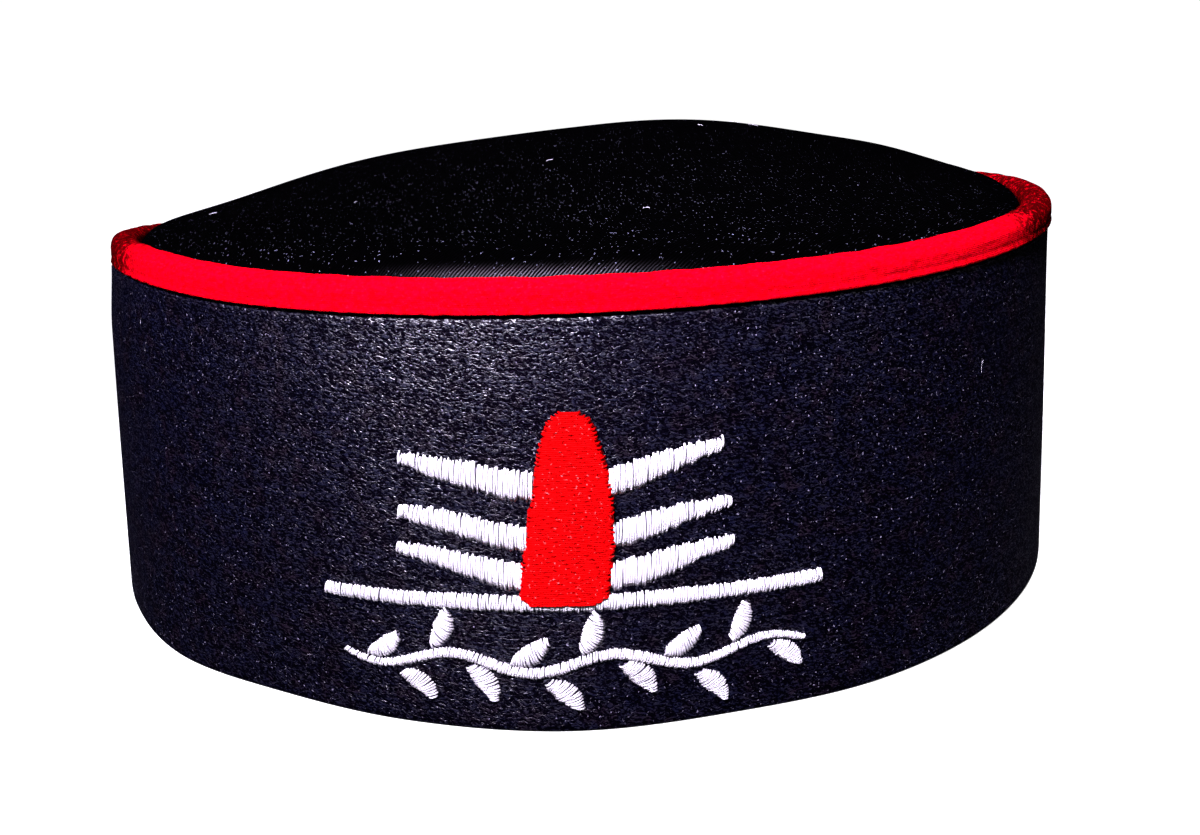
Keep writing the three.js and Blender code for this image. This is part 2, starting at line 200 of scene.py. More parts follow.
def round_value(rows, angle):
    """Smooth value of a table of (degrees, value) rows round the cap, at an array of angles."""
    at = np.array([row[0] for row in rows], float)
    value = np.array([row[1] for row in rows], float)
    n = len(rows)
    deg = np.degrees(angle) % 360
    i = np.searchsorted(at, deg, side="right") - 1

    def place(k):
        return at[k % n] + 360 * (k // n)

    def slope(k):
        return (value[(k + 1) % n] - value[(k - 1) % n]) / (place(k + 1) - place(k - 1))

    span = place(i + 1) - place(i)
    t = (deg - place(i)) / span
    keep = 2 * t**3 - 3 * t**2 + 1
    tangent = (t**3 - 2 * t**2 + t) * slope(i) + (t**3 - t**2) * slope(i + 1)
    return keep * value[i % n] + (1 - keep) * value[(i + 1) % n] + span * tangent


def smoothstep(x, low, high):
    t = np.clip((x - low) / (high - low), 0, 1)
    return t * t * (3 - 2 * t)


def rim_height(angle):
    return RIM_HEIGHT * round_value(RIM_ROWS, angle)


def wall_normal(angle):
    normal = np.stack([DEPTH_RATIO * np.sin(angle), -np.cos(angle), 0 * angle], -1)
    return normal / np.linalg.norm(normal, axis=-1, keepdims=True)


def wall_point(angle, height, out):
    """Points at angles round the wall and heights, standing out from its outer face."""
    angle, height, out = np.broadcast_arrays(
        np.asarray(angle, float), np.asarray(height, float), np.asarray(out, float))
    climb = height / (rim_height(angle) - TAPE_OUTER)
    hem_half = HEM_HALF * (1 + round_value(HEM_ROWS, angle))
    rolled = smoothstep(climb, 0.8, 1.05) * CURL * (1 - np.sin(angle)) / 2
    half = hem_half + (RIM_HALF - hem_half) * climb - rolled
    point = np.stack([
        half * np.sin(angle) + LEAN * climb, -half * DEPTH_RATIO * np.cos(angle), height], -1)
    return point + wall_normal(angle) * out[..., None]


GRIP_OUTER = TAPE_PROUD - TAPE - GAP
GRIP_INNER = GRIP_OUTER - PINCHED_WALL
TAPE_INSIDE = GRIP_INNER - GAP - TAPE
CROWN_EDGE = TAPE_INSIDE - GAP
SEAM_REACH = GRIP_INNER - SEAM_CLEAR
MEAN_RADIUS = RIM_HALF * (1 + DEPTH_RATIO) / 2


def ripple(angle, waves, seed):
    """Uneven wave round the cap, between about -1 and 1. waves is its mean count."""
    rng = random.Random(seed)
    total = 0
    for k in range(5):
        count = max(1, round(waves * rng.uniform(0.6, 1.4)))
        total = total + np.sin(count * angle + rng.uniform(0, 2 * math.pi))
    return total / 3


# Mesh making

def new_object(name, vertices, faces, material, uv=None, smooth=True, **attributes):
    """An object from millimetre vertices, with one uv pair for each corner of a face."""
    mesh = bpy.data.meshes.new(name)
    mesh.from_pydata([tuple(v) for v in np.asarray(vertices) * MM], [], faces)
    if uv is not None:
        layer = mesh.uv_layers.new(name="cloth")
        layer.data.foreach_set("uv", np.asarray(uv, np.float32).ravel())
    for key, values in attributes.items():
        layer = mesh.attributes.new(key, "FLOAT", "POINT")
        layer.data.foreach_set("value", np.asarray(values, np.float32).ravel())
    mesh.polygons.foreach_set("use_smooth", [smooth] * len(mesh.polygons))
    mesh.materials.append(material)
    mesh.update()
    piece = bpy.data.objects.new(name, mesh)
    bpy.context.scene.collection.objects.link(piece)
    return piece


def stands_for(piece, slot, *nodes):
    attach(piece, "root")
    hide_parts(*nodes)
    return piece


def ring_object(name, section, steps, material, **by_angle):
    """Closed ring round the cap. section(angles) gives points [angle, place in the section, xyz],
    and each function in by_angle gives an attribute."""
    angle = math.pi + np.arange(steps) * 2 * math.pi / steps
    points = section(angle)
    count = points.shape[1]
    run = np.linalg.norm(points[0] - np.roll(points[0], 1, 0), axis=1)
    down = np.append(np.cumsum(run) - run[0], run.sum())
    along = np.arange(steps + 1) * 2 * math.pi * MEAN_RADIUS / steps
    faces, uv = [], []
    for i in range(steps):
        for j in range(count):
            k, m = (i + 1) % steps, (j + 1) % count
            faces.append((i * count + j, k * count + j, k * count + m, i * count + m))
            uv += [(along[i], down[j]), (along[i + 1], down[j]),
                   (along[i + 1], down[j + 1]), (along[i], down[j + 1])]
    attributes = {key: np.repeat(value(angle), count) for key, value in by_angle.items()}
    return new_object(name, points.reshape(-1, 3), faces, material, uv, **attributes)


# Wall

def side_wall(material):
    outer_rows = 70
    inner_rows = 16
    round_rows = 6

    def section(angle):
        rim = rim_height(angle)
        foot = rim - TAPE_OUTER - GAP
        top = rim - TAPE - GAP
        inside = rim - TAPE_INNER - GAP
        columns = []

        def add(out, height):
            columns.append(wall_point(angle, height, out))

        for k in range(round_rows + 1):
            turn = math.pi / 2 * k / round_rows
            add(-HEM_ROUND * (1 - math.sin(turn)), HEM_ROUND * (1 - math.cos(turn)))
        pucker = ripple(angle, PUCKERS, seed=3) * PUCKER_DEPTH
        hem_pucker = ripple(angle, HEM_PUCKERS, seed=9) * HEM_PUCKER_DEPTH
        sag = ripple(angle, SAGS, seed=5) * SAG_DEPTH
        for k in range(1, outer_rows + 1):
            share = k / outer_rows
            height = HEM_ROUND + (foot - GAP - HEM_ROUND) * share
            near_tape = math.exp(-(1 - share) * RIM_HEIGHT / PUCKER_RUN)
            near_hem = math.exp(-share * RIM_HEIGHT / HEM_PUCKER_RUN)
            bow = math.sin(math.pi * share)
            add(pucker * near_tape + hem_pucker * near_hem + sag * bow, height)
        add(-GAP, foot)
        add(GRIP_OUTER, foot)
        add(GRIP_OUTER, top - GAP)
        add(GRIP_OUTER - GAP, top)
        add(GRIP_INNER + GAP, top)
        add(GRIP_INNER, top - GAP)
        add(GRIP_INNER, inside)
        for k in range(inner_rows + 1):
            share = k / inner_rows
            add(-WALL, (inside - 2 * GAP) * (1 - share) + HEM_ROUND * share)
        for k in range(1, round_rows + 1):
            turn = math.pi / 2 * k / round_rows
            add(-WALL + HEM_ROUND * (1 - math.cos(turn)), HEM_ROUND * (1 - math.sin(turn)))
        return np.stack(columns, 1)

    wall = ring_object("wall_cloth", section, 720, material)
    return stands_for(wall, "wall_cloth", "side_band")


# Tape

def side_grime(angle):
    """How far painted shade darkens the tape, more at its two sides than at the front and the back.
    """
    return smoothstep(np.abs(np.sin(angle)), 0.7, 0.9) * (0.75 + 0.25 * np.cos(angle))


def tape_ring(material):
    """The folded tape. Its face has a stitched groove between the turned edge and the fold."""
    slot_outer = TAPE_PROUD - TAPE
    slot_inner = GRIP_INNER - GAP
    middle = (TAPE_PROUD + TAPE_INSIDE) / 2
    half_wide = (TAPE_PROUD - TAPE_INSIDE) / 2
    turned = TAPE / 3
    face_height = TAPE_OUTER - TAPE_ROUND - turned
    edge_rows = 4
    fold_rows = 24

    def section(angle):
        rim = rim_height(angle)
        pull = TAPE_PULL * ripple(angle, TAPE_PULLS, seed=21)
        swell = TAPE_SWELL * ripple(angle, TAPE_SWELLS, seed=22)
        foot = rim - TAPE_OUTER + pull
        inside = rim - TAPE_INNER
        slot = rim - TAPE
        drawn_in = DRAWN_IN * smoothstep(-np.sin(angle), 0.7, 1)
        columns = []

        def add(out, height):
            face = np.clip((out - slot_outer) / TAPE, 0, 1)
            columns.append(wall_point(angle, height, out - drawn_in * face))

        add(slot_outer, foot + 0.1)
        for k in range(edge_rows + 1):
            turn = math.pi / 2 * k / edge_rows
            add(TAPE_PROUD - turned * (1 - math.sin(turn)) + TAPE_EDGE_LIFT,
                foot + turned * (1 - math.cos(turn)))
        for share, proud in ((0.2, 0.03), (0.32, -0.05), (0.45, 0.02)):
            add(TAPE_PROUD + proud, foot + turned + face_height * share)
        for share in (0.6, 0.75, 0.9):
            add(TAPE_PROUD + TAPE_FULLNESS + swell, foot + turned + face_height * share)
        for k in range(fold_rows + 1):
            turn = math.pi * k / fold_rows
            bulge = TAPE_FULLNESS + swell * math.sin(turn)
            add(middle + (half_wide + bulge) * math.cos(turn),
                rim - TAPE_ROUND * (1 - math.sin(turn)) + swell * math.sin(turn))
        add(TAPE_INSIDE, inside + turned)
        add(TAPE_INSIDE + turned, inside)
        add(slot_inner, inside)
        add(slot_inner, slot - GAP)
        add(slot_inner + GAP, slot)
        add(slot_outer - GAP, slot)
        add(slot_outer, slot - GAP)
        return np.stack(columns, 1)

    # each angle of the tape carries how far painted shade darkens it at the sides
    tape = ring_object("tape", section, 900, material, grime=side_grime)
    return stands_for(tape, "red_tape", "trim_binding")


# Crown

def crown_point(share, angle):
    """Points on the crown, share of the way from its middle to its edge. Its gathers die out
    away from the edge, and its creases at both."""
    rim = rim_height(angle)
    edge = wall_point(angle, rim, CROWN_EDGE)
    x = LEAN + (edge[..., 0] - LEAN) * share
    y = edge[..., 1] * share
    level = RIM_HEIGHT + (rim - RIM_HEIGHT) * share**1.5
    from_edge = (1 - share) * RIM_HALF
    climb_out = 1 - np.exp(-from_edge / PUFF_RUN)
    puff = PUFF * round_value(PUFF_ROWS, angle) * share**2
    lumps = 0
    for right, back, wide, up in LUMP_ROWS:
        away = np.hypot(x / RIM_HALF - right, y / RIM_HALF - back) / wide
        lumps = lumps + CROWN_RISE * up * np.exp(-(away**2) / 2)
    dome = CROWN_RISE * (1 - share**2) ** DOME_FULLNESS + lumps * (1 - share**4)
    near_edge = np.exp(-from_edge / GATHER_RUN) * (1 - np.exp(-from_edge))
    gathers = GATHER_HEIGHT * ripple(angle, GATHERS, seed=31) * near_edge
    wander = np.sin(x / 9 + 1.3 * np.sin(y / 14)) * np.sin(y / 11 + 2)
    creases = CREASE_HEIGHT * wander * share * (1 - share)
    z = level - CROWN_SEAT + (CROWN_SEAT + puff) * climb_out + dome + gathers + creases
    return np.stack([x, y, z], -1)


def crown_dome(material):
    """The crown's cloth, with the seam allowance that it tucks under the tape."""
    steps = 540
    first = 0.006
    wide_rings = np.linspace(0.03, 0.9, 44)
    close_rings = 1 - 0.1 * (1 - np.linspace(0.06, 1, 22)) ** 1.4
    away = np.concatenate([[first], wide_rings, close_rings])
    angle = math.pi + np.arange(steps) * 2 * math.pi / steps
    share, around = np.meshgrid(away, angle, indexing="ij")
    top = crown_point(share, around)
    step = 0.004
    inner = crown_point(np.clip(share - step, 0, 1), around)
    outer = crown_point(np.clip(share + step, 0, 1), around)
    side = crown_point(share, around + step) - crown_point(share, around - step)
    normal = np.cross(outer - inner, side)
    normal /= np.linalg.norm(normal, axis=-1, keepdims=True)
    under = top - normal * CROWN_WALL
    rim = rim_height(angle)
    seam = [wall_point(angle, rim - down, out) for down, out in (
        (SEAM_TOP, CROWN_EDGE), (SEAM_TOP, SEAM_REACH),
        (SEAM_FOOT, SEAM_REACH), (SEAM_FOOT, CROWN_EDGE - SEAM_TUCK))]
    points = np.concatenate([top, seam, under[::-1]])
    rings = len(points)
    faces = []
    for ring in range(rings - 1):
        for i in range(steps):
            k = (i + 1) % steps
            a, b = ring * steps, (ring + 1) * steps
            faces.append((a + i, b + i, b + k, a + k))
    faces.append(tuple(range(steps)))
    faces.append(tuple((rings - 1) * steps + i for i in reversed(range(steps))))
    # share of the painted highlight, on the crown's top cloth only
    rub = np.zeros(points.shape[:2])
    rub[:len(away)] = rubbed(share, around)
    crown = new_object("crown_cloth", points.reshape(-1, 3), faces, material, rub=rub)
    return stands_for(crown, "crown_cloth", "crown_top")


def rubbed(share, angle):
    """How far the crown gets its painted highlight: along its edge at the middle of the front."""
    row_middle, row_half = 0.8, 0.68
    front_middle, front_half = -3, 10
    from_edge = (1 - share) * RIM_HALF
    row = np.exp(-((from_edge - row_middle) / row_half) ** 2)
    from_front = np.degrees((angle + math.pi) % (2 * math.pi) - math.pi)
    return row * np.exp(-(np.abs(from_front - front_middle) / front_half) ** 3)


# Threads

def on_band(along, height, out):
    return wall_point(np.asarray(along) / MEAN_RADIUS, height, out)


def thread_mesh(paths, radius, sides=6):
    """Vertices and faces of closed tubes. paths holds [stitch, point, (along, height, out)]."""
    paths = np.asarray(paths, float)
    centre = on_band(paths[..., 0], paths[..., 1], paths[..., 2])
    normal = wall_normal(paths[..., 0] / MEAN_RADIUS)
    along = np.gradient(centre, axis=1)
    along /= np.linalg.norm(along, axis=-1, keepdims=True)
    side = np.cross(normal, along)
    side /= np.linalg.norm(side, axis=-1, keepdims=True)
    up = np.cross(along, side)
    turn = np.arange(sides) * 2 * math.pi / sides
    ring = (centre[:, :, None] + radius * (
        side[:, :, None] * np.cos(turn)[:, None] + up[:, :, None] * np.sin(turn)[:, None]))
    stitches, points = centre.shape[:2]
    run = np.linalg.norm(np.diff(centre, axis=1), axis=-1).cumsum(axis=1)
    run = np.concatenate([np.zeros((stitches, 1)), run], axis=1) / TWIST
    faces, uv = [], []
    for s in range(stitches):
        base = s * points * sides
        for p in range(points - 1):
            for k in range(sides):
                m = (k + 1) % sides
                low, high = base + p * sides, base + (p + 1) * sides
                faces.append((low + k, low + m, high + m, high + k))
                left, right = k / sides, (k + 1) / sides
                near, far = run[s, p], run[s, p + 1]
                uv += [(left, near), (right, near), (right, far), (left, far)]
        faces.append(tuple(base + k for k in reversed(range(sides))))
        faces.append(tuple(base + (points - 1) * sides + k for k in range(sides)))
        uv += [(UNDERSIDE, 0)] * (2 * sides)
    return ring.reshape(-1, 3), faces, uv


def satin_stitch(foot, head, rise, points=7):
    """One stitch from foot to head, each (along, height): out of the cloth, over and in again."""
    sunk = 0.15
    path = []
    for k in range(points):
        t = k / (points - 1)
        out = rise * math.sin(math.pi * t) ** 0.5 - sunk
        path.append((foot[0] + (head[0] - foot[0]) * t, foot[1] + (head[1] - foot[1]) * t, out))
    return path


def spread(length, pitch):
    """Places of stitches along a length, a little uneven, with a wider gap here and there."""
    places = []
    place = pitch / 2
    while place < length - pitch / 4:
        places.append(place)
        place += pitch * random.uniform(0.88, 1.12)
        if random.random() < 0.06:
            place += pitch * random.uniform(0.2, 0.5)
    return places


def satin_paths(line, lean, rise=SATIN_RISE, ragged=0.3, upright=True):
    """Stitches across a centre line of (along, height, thick) rows. rise may be a function."""
    look = 0.3
    line = np.array(line, float)
    run = np.append(0, np.cumsum(np.hypot(*np.diff(line[:, :2], axis=0).T)))
    paths = []
    for place in spread(run[-1], STITCH_PITCH):
        along, height, thick = (np.interp(place, run, line[:, c]) for c in range(3))
        if upright:
            way = np.array([1.0, 0.0])
        else:
            ahead = np.array([np.interp(min(place + look, run[-1]), run, line[:, c]) for c in (0, 1)])
            before = np.array([np.interp(max(place - look, 0), run, line[:, c]) for c in (0, 1)])
            way = (ahead - before) / np.linalg.norm(ahead - before)
        across = np.array([-way[1], way[0]])
        middle = np.array([along, height])
        low = thick / 2 + random.uniform(-ragged, ragged)
        high = thick / 2 + random.uniform(-ragged, ragged)
        slant = way * (lean + random.uniform(-0.12, 0.12))
        lift = rise(along) if callable(rise) else rise
        paths.append(satin_stitch(
            middle - across * low - slant, middle + across * high + slant,
            lift * random.uniform(0.85, 1.12)))
    return paths


def under_mark(along):
    """The white rule lies flatter where the red mark is sewn over it."""
    return 0.5 if -0.84 * TILAK_HALF < along < 0.56 * TILAK_HALF else SATIN_RISE


def padding_body(rows):
    """A closed body of padding through rows of (along, height, out) points. The points of a row
    run against the clock, seen from outside the first row."""
    rows = np.array(rows)
    count = rows.shape[1]
    faces = [tuple(range(count))]
    for i in range(len(rows) - 1):
        for j in range(count):
            m = (j + 1) % count
            faces.append((i * count + j, (i + 1) * count + j, (i + 1) * count + m, i * count + m))
    faces.append(tuple((len(rows) - 1) * count + j for j in reversed(range(count))))
    uv = [(UNDERSIDE, 0)] * sum(len(face) for face in faces)
    return on_band(rows[..., 0], rows[..., 1], rows[..., 2]).reshape(-1, 3), faces, uv


def underlay(line, inset=0.4, rise=0.3, least=0.1, foot=0.02):
    """Flat padding under the stitches, along a line of (along, height, thick) rows."""
    line = np.array(line, float)
    rows = []
    for i, (along, height, thick) in enumerate(line):
        way = line[min(i + 1, len(line) - 1), :2] - line[max(i - 1, 0), :2]
        way /= np.linalg.norm(way)
        across = np.array([-way[1], way[0]]) * max(thick / 2 - inset, least)
        row = []
        for side, out in ((-1, foot), (-0.7, rise), (0, rise), (0.7, rise), (1, foot), (0, foot)):
            place = np.array([along, height]) + across * side
            row.append((place[0], place[1], out))
        rows.append(row)
    return padding_body(rows)


def joined_object(name, parts, material):
    """One object from several lists of vertices, faces and uv pairs."""
    vertices, faces, uv, start = [], [], [], 0
    for part_vertices, part_faces, part_uv in parts:
        vertices.append(part_vertices)
        faces += [tuple(start + v for v in face) for face in part_faces]
        uv += part_uv
        start += len(part_vertices)
    return new_object(name, np.concatenate(vertices), faces, material, uv)


def sewn(name, line, material, slot, node, **stitching):
    """One embroidered shape: stitches across a line, over their padding."""
    parts = [underlay(line), thread_mesh(satin_paths(line, **stitching), THREAD_RADIUS)]
    return stands_for(joined_object(name, parts, material), slot, node)


def finer(line, steps=6):
    """The same line with more rows, smoothed between the given ones."""
    line = np.array(line, float)
    t = np.linspace(0, len(line) - 1, (len(line) - 1) * steps + 1)
    rows = []
    for place in t:
        i = min(int(place), len(line) - 2)
        f = place - i
        p0, p1, p2, p3 = (line[min(max(i + k, 0), len(line) - 1)] for k in (-1, 0, 1, 2))
        rows.append(0.5 * (2 * p1 + (p2 - p0) * f + (2 * p0 - 5 * p1 + 4 * p2 - p3) * f**2
                           + (3 * p1 - p0 - 3 * p2 + p3) * f**3))
    return np.array(rows)


def bars(material):
    for node, rows in BAR_ROWS.items():
        line = [(BAR_REACH * out, EMBLEM_TOP * up, BAR_WIDTH * thick + BAR_SPREAD)
                for out, up, thick in rows]
        if line[0][0] > line[-1][0]:
            line.reverse()
        sewn(f"{node}_threads", finer(line), material, "white_thread", node, lean=0.05)


def rule(material):
    line = [(RULE_HALF * s, RULE_HEIGHT, RULE_WIDTH) for s in np.linspace(-1, 1, 40)]
    sewn("border_rule_threads", line, material, "white_thread", "border_rule", lean=0.04,
         ragged=0.18, rise=under_mark)


def vine_height(along):
    return VINE_HEIGHT + VINE_WAVE * math.sin(math.pi * VINE_WAVES * along / VINE_HALF)


def vine(material):
    stem_steps, leaf_steps = 60, 18
    line = []
    for i in range(-stem_steps, stem_steps + 1):
        along = VINE_HALF * i / stem_steps
        thick = STEM_WIDTH * (1 - 0.5 * abs(i / stem_steps) ** 6)
        line.append((along, vine_height(along), thick))
    sewn("vine_stem_threads", line, material, "white_thread", "vine_stem", lean=0.1,
         ragged=0.1, upright=False, rise=0.62)
    for number in range(LEAVES):
        above = 1 if number % 2 == 0 else -1
        root = VINE_HALF * (LEAF_FIRST + LEAF_SPAN * number / (LEAVES - 1))
        slope = vine_height(root + 0.5) - vine_height(root - 0.5)
        lean = math.radians(LEAF_LEAN)
        root_thick = LEAF_WIDTH * LEAF_ROOT
        start = (STEM_WIDTH / 2 + 1.5 * GAP + root_thick / 2 * math.cos(lean)) / math.sin(lean)
        heading = math.atan(slope) + above * lean
        leaf = []
        for i in range(leaf_steps + 1):
            share = i / leaf_steps
            run = start + LEAF_LENGTH * share
            bend = LEAF_LENGTH * 0.1 * above * math.sin(math.pi * share)
            wide = max(math.sin(math.pi * (0.08 + 0.86 * share)) ** 0.8, LEAF_ROOT)
            leaf.append((
                root + run * math.cos(heading) + bend * math.sin(heading),
                vine_height(root) + run * math.sin(heading) - bend * math.cos(heading),
                LEAF_WIDTH * wide))
        node = f"vine_leaf_{number + 1}"
        sewn(f"{node}_threads", leaf, material, "white_thread", node, lean=0.35,
             ragged=0.1, upright=False)


def red_mark(material):
    """The mark, filled with rows of stitches that run across it and start at different places."""
    rows = np.array(TILAK_ROWS)
    top = EMBLEM_TOP + 0.1
    shortest = 0.8
    steps = 8
    paths = []
    height = MARK_FOOT
    number = 0
    while height < top:
        left, right = (TILAK_HALF * np.interp(height / EMBLEM_TOP, rows[:, 0], rows[:, c])
                       for c in (1, 2))
        left -= random.uniform(-0.1, 0.3)
        right += random.uniform(-0.1, 0.3)
        cuts = [left]
        cut = left + FILL_STITCH * (0.3 + (number * 0.37) % 0.9)
        while cut < right - shortest:
            cuts.append(cut)
            cut += FILL_STITCH * random.uniform(0.9, 1.1)
        cuts.append(right)
        for a, b in zip(cuts[:-1], cuts[1:]):
            slope = random.uniform(-0.08, 0.08)
            path = []
            for k in range(steps + 1):
                t = k / steps
                out = FILL_RISE - FILL_ARCH + FILL_ARCH * math.sin(math.pi * t) ** 0.4
                if (a == left and k == 0) or (b == right and k == steps):
                    out = -0.1
                path.append((a + (b - a) * t, height + slope * (t - 0.5), out))
            paths.append(path)
        height += FILL_PITCH * random.uniform(0.93, 1.07)
        number += 1
    parts = [mark_padding(rows), thread_mesh(paths, THREAD_RADIUS + 0.015)]
    mark = joined_object("tilak_threads", parts, material)
    return stands_for(mark, "red_thread", "tilak")


def mark_padding(rows):
    """Padding that fills the red mark up to just under its top stitches."""
    inset = 0.35
    section = ((1, 0.02), (1, 0.4), (0.8, 0.52), (0, 0.54), (-0.8, 0.52), (-1, 0.4), (-1, 0.02),
               (0, 0.02))
    places = []
    for up, left, right in rows[1:]:
        middle = TILAK_HALF * (left + right) / 2
        half = TILAK_HALF * (right - left) / 2 - inset
        height = max(EMBLEM_TOP * up - 0.25, MARK_FOOT + 0.2)
        places.append([(middle + half * share, height, out) for share, out in section])
    return padding_body(places)


# Lint: short fibres caught on the cloth. Wall rows are (along, height, length, turn in degrees),
# crown rows (share out from the middle, degrees round, length, turn).
WALL_LINT = [(-79, 52, 1.8, 70), (-81, 56, 1.4, 60), (73, 46, 2.4, 84), (-42, 8, 1.2, 20)]
CROWN_LINT = [
    (0.35, -8, 1.4, 35), (0.42, 92, 2.0, 10), (0.4, 105, 1.6, -20), (0.55, 118, 1.2, 60),
    (0.3, 75, 1.4, -45), (0.72, 12, 1.1, 5), (0.68, -40, 1, 80), (0.86, -62, 1.4, 30),
]


def lint(material):
    wall_steps, crown_steps, corners = 8, 6, 4
    paths = []
    for along, height, length, turn in WALL_LINT:
        way = np.array([math.cos(math.radians(turn)), math.sin(math.radians(turn))])
        bow = np.array([-way[1], way[0]]) * length * 0.15
        fibre = []
        for k in range(wall_steps + 1):
            t = k / wall_steps - 0.5
            place = np.array([along, height]) + way * length * t + bow * (1 - 4 * t * t)
            fibre.append((place[0], place[1], 0.2))
        paths.append(fibre)
    parts = [thread_mesh(paths, LINT_RADIUS, sides=5)]
    for share, deg, length, turn in CROWN_LINT:
        centre = crown_point(np.array(share), np.array(math.radians(deg)))
        way = np.array([math.cos(math.radians(turn)), math.sin(math.radians(turn)), 0])
        bow = np.array([-way[1], way[0], 0]) * length * 0.2
        ring = []
        for k in range(crown_steps + 1):
            t = k / crown_steps - 0.5
            place = centre + way * length * t + bow * (1 - 4 * t * t)
            radius = math.hypot(place[0] - LEAN, place[1])
            angle = math.atan2(place[0] - LEAN, -place[1])
            edge = wall_point(angle, rim_height(np.array(angle)), CROWN_EDGE)
            reach = math.hypot(edge[0] - LEAN, edge[1])
            on = crown_point(np.array(radius / reach), np.array(angle)) + (0, 0, 0.1)
            side = np.array([-way[1], way[0], 0]) * LINT_RADIUS
            ring += [on + side, on + (0, 0, 0.06), on - side, on - (0, 0, 0.04)]
        faces = [tuple(reversed(range(corners)))]
        for start in range(0, crown_steps * corners, corners):
            for j in range(corners):
                m = (j + 1) % corners
                faces.append((start + j, start + m, start + corners + m, start + corners + j))
        faces.append(tuple(crown_steps * corners + j for j in range(corners)))
        parts.append((np.array(ring), faces, [(0.25, 0)] * sum(len(face) for face in faces)))
    piece = joined_object("lint", parts, material)
    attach(piece, "root")


# Materials

COAT_ROUGHNESS = 0.31
COAT_IOR = 2.2


class Shader:
    """A material's nodes, made one call at a time."""

    def __init__(self, name):
        self.material = bpy.data.materials.new(name)
        self.material.use_nodes = True
        self.tree = self.material.node_tree
        self.bsdf = self.tree.nodes["Principled BSDF"]

    def node(self, kind, inputs=(), **settings):
        made = self.tree.nodes.new("ShaderNode" + kind)
        for key, value in settings.items():
            setattr(made, key, value)
        for key, value in dict(inputs).items():
            self.put(made.inputs[key], value)
        return made

    def put(self, socket, value):
        if isinstance(value, bpy.types.NodeSocket):
            self.tree.links.new(value, socket)
        else:
            socket.default_value = value

    def math(self, operation, a, b=0.0, c=0.0):
        made = self.node("Math", operation=operation)
        for i, value in enumerate((a, b, c)):
            self.put(made.inputs[i], value)
        return made.outputs[0]

    def times(self, a, b):
        return self.math("MULTIPLY", a, b)

    def plus(self, a, b):
        return self.math("ADD", a, b)

    def wave(self, value, period):
        """A sine of the period given, from 0 to 1."""
        swing = self.math("SINE", self.times(value, 2 * math.pi / period))
        return self.math("MULTIPLY_ADD", swing, 0.5, 0.5)

    def cloth_place(self):
        """The two numbers of the cloth's own map."""
        place = self.node("UVMap", uv_map="cloth").outputs[0]
        apart = self.node("SeparateXYZ", {"Vector": place})
        return apart.outputs[0], apart.outputs[1]

    def object_place(self):
        """Object coordinates in millimetres."""
        place = self.node("TexCoord").outputs["Object"]
        apart = self.node("SeparateXYZ", {"Vector": place})
        return [self.times(apart.outputs[i], 1 / MM) for i in range(3)]

    def vector(self, x, y, z=0.0):
        return self.node("CombineXYZ", {"X": x, "Y": y, "Z": z}).outputs[0]

    def noise(self, vector, scale, detail=2.0, roughness=0.5):
        made = self.node("TexNoise", {
            "Vector": vector, "Scale": scale, "Detail": detail, "Roughness": roughness})
        return made.outputs[0]

    def chance(self, number):
        """A value from 0 to 1 that is different for each whole number."""
        return self.node("TexWhiteNoise", {"Vector": self.vector(number, 0.0)}).outputs[0]

    def ramp(self, value, low, high):
        """value from low to high becomes 0 to 1."""
        made = self.node("MapRange", {"Value": value, "From Min": low, "From Max": high},
                         interpolation_type="SMOOTHSTEP")
        return made.outputs[0]

    def specks(self, place, scale, low, high):
        """Sparse spots, 1 in a spot and 0 between. A higher low leaves fewer."""
        return self.ramp(self.noise(place, scale, 1), low, high)

    def mix(self, share, a, b):
        """Colour a at share 0 and b at 1. The numbers are the Mix node's sockets for colours."""
        made = self.node("Mix", data_type="RGBA")
        self.put(made.inputs[0], share)
        self.put(made.inputs[6], (*a, 1) if isinstance(a, tuple) else a)
        self.put(made.inputs[7], (*b, 1) if isinstance(b, tuple) else b)
        return made.outputs[2]

    def relief(self, height):
        """Bump from a height in millimetres."""
        made = self.node("Bump", {"Height": height, "Distance": MM})
        self.tree.links.new(made.outputs[0], self.bsdf.inputs["Normal"])
        self.tree.links.new(made.outputs[0], self.bsdf.inputs["Coat Normal"])

    def finish(self, colour, roughness, specular, tint=(1, 1, 1), coat=0.0):
        """coat is the share of the surface that has the thread's own gloss."""
        self.put(self.bsdf.inputs["Base Color"], colour)
        self.put(self.bsdf.inputs["Roughness"], roughness)
        self.put(self.bsdf.inputs["Coat Weight"], coat)
        self.bsdf.inputs["Coat Roughness"].default_value = COAT_ROUGHNESS
        self.bsdf.inputs["Coat IOR"].default_value = COAT_IOR
        self.bsdf.inputs["Specular IOR Level"].default_value = specular
        self.bsdf.inputs["Specular Tint"].default_value = (*tint, 1)
        return self.material


# Wall weave: wavy rows of short strands, in a black that turns to violet in patches
STRAND_PITCH = 0.54
STRAND_SLANT = 0.35
ROW_WANDER = 3.2
GROUND_BLACK = (0.0001, 0.0001, 0.0004)
WARM_VIOLET = (0.0045, 0.0014, 0.006)
COLD_VIOLET = (0.0016, 0.0014, 0.009)
INK_BLUE = (0.0008, 0.0012, 0.0105)
WALL_DUST = (0.13, 0.12, 0.165)
WALL_TINT = (0.55, 0.3, 1)


